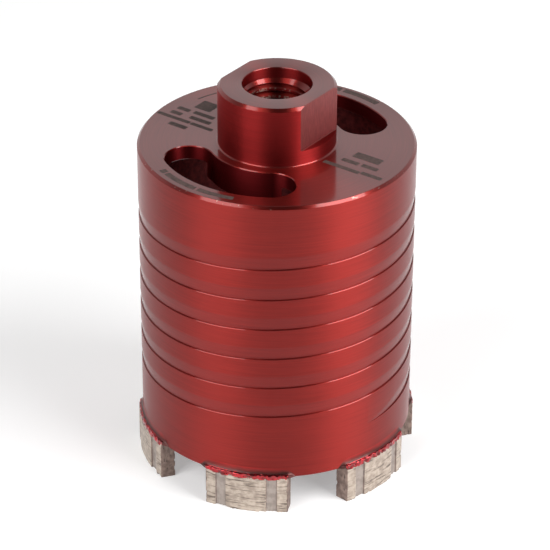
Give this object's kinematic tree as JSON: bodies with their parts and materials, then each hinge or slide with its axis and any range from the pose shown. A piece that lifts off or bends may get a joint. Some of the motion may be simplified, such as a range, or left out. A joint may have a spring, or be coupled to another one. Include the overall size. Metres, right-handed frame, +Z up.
{
  "type": "diamond core bit",
  "caption": "Dry core bit: a painted steel cup with a threaded hub, kidney slots in its head, a spiral chip groove and brazed diamond segments round its lower edge.",
  "frame": {"origin": "centre of the circle that the segments stand on", "axes": "+Z up the drilling axis from the segments to the hub, -Y towards the picture's viewer"},
  "size_m": [0.068, 0.068, 0.098],
  "materials": {
    "paint": "glossy clear red over turned steel",
    "segment": "rough pressed and ground metal with diamond grit",
    "braze": "lumpy silver solder under thin red paint"
  },
  "bodies": {
    "root": {"body": "paint", "diamond_segment_1": "segment", "diamond_segment_2": "segment", "diamond_segment_3": "segment", "diamond_segment_4": "segment", "diamond_segment_5": "segment", "diamond_segment_6": "segment", "braze_fillet_1": "braze", "braze_fillet_2": "braze", "braze_fillet_3": "braze", "braze_fillet_4": "braze", "braze_fillet_5": "braze", "braze_fillet_6": "braze"}
  },
  "joints": []
}
